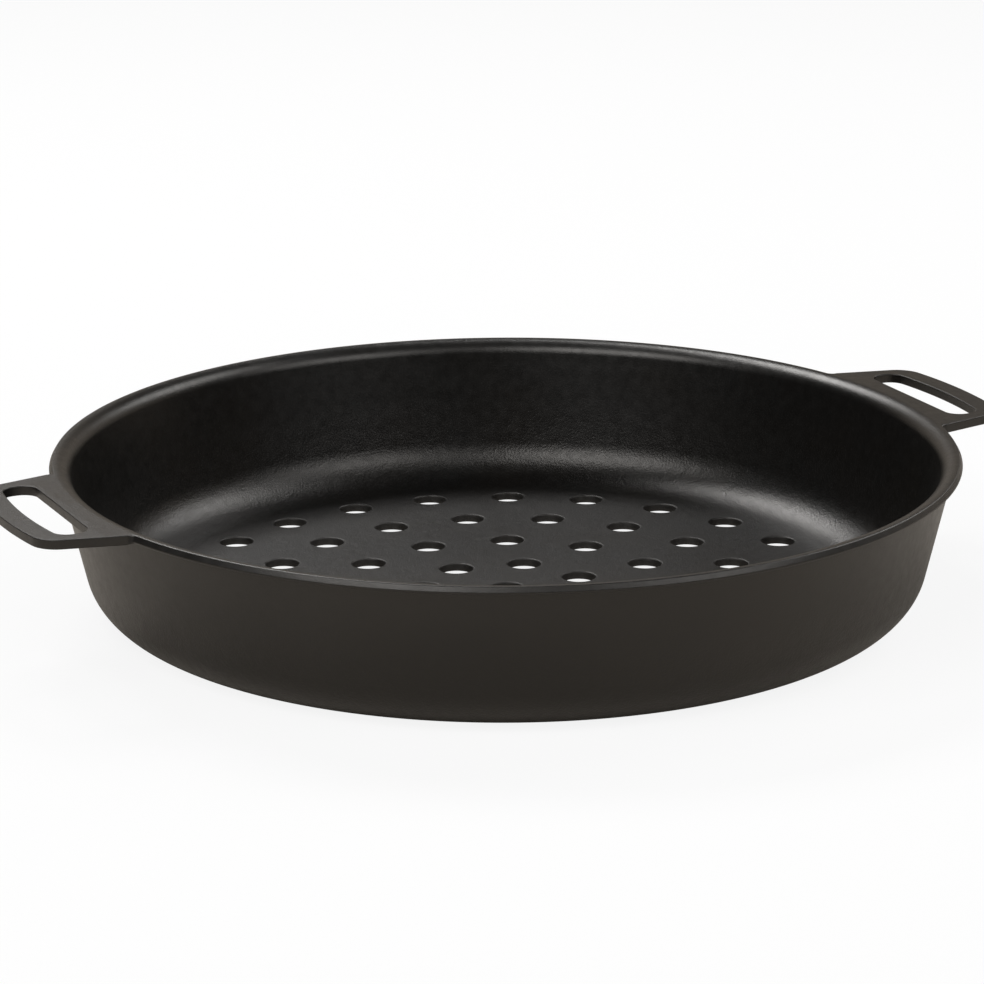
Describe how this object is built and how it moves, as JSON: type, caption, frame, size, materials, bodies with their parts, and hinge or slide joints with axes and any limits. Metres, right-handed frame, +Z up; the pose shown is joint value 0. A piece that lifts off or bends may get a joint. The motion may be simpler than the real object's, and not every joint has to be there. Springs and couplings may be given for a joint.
{
  "type": "perforated grill pan",
  "caption": "Round flared iron grill pan with a perforated floor, a rounded overhanging rim and a flat loop handle on each side, for grilling over open heat.",
  "frame": {"origin": "centre of the base, on the surface the pan stands on", "axes": "+X along the line through both handles, +Z up out of the pan"},
  "size_m": [0.388, 0.3326, 0.057],
  "materials": {
    "iron": "seasoned black, satin, fine sand-cast grain"
  },
  "bodies": {
    "root": {"perforated_floor": "iron", "rounded_corner": "iron", "side_wall": "iron", "rim": "iron", "handle_right": "iron", "handle_left": "iron"}
  },
  "joints": []
}
